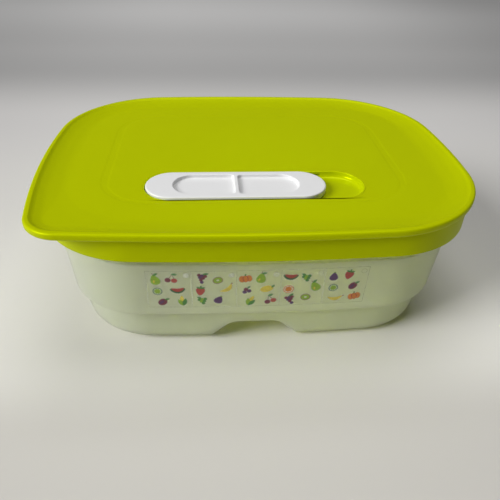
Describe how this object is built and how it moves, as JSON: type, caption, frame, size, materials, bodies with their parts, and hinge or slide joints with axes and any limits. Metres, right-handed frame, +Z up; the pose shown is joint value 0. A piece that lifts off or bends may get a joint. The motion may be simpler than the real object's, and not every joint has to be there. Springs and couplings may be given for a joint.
{
  "type": "produce keeper",
  "caption": "Low rectangular produce keeper: translucent stepped tub, soft clip-on lid with a pull tab, and a sliding vent in a stadium bed",
  "frame": {"origin": "centre of the footprint, on the surface that the keeper stands on", "axes": "+Z up out of the lid, +X to the right along the long side and the way that the vent slider opens, -Y towards the printed front"},
  "size_m": [0.26, 0.202, 0.09],
  "materials": {
    "tub_plastic": "translucent polypropylene, satin, faint green-grey, moulded",
    "lid_plastic": "soft lime-green polyethylene, satin, moulded",
    "bed_plastic": "glossy lime-green polypropylene, moulded",
    "slider_plastic": "white polypropylene, satin, moulded"
  },
  "bodies": {
    "tub": {"tub": "tub_plastic"},
    "lid": {"lid": "lid_plastic", "vent_bed": "bed_plastic"},
    "slider": {"vent_slider": "slider_plastic"}
  },
  "joints": [
    {"name": "lid_lift", "type": "slide", "parent": "tub", "child": "lid", "axis": [0, 0, 1], "range_m": [0, 0.12]},
    {"name": "vent_slide", "type": "slide", "parent": "lid", "child": "slider", "axis": [1, 0, 0], "range_m": [0, 0.0218]}
  ]
}
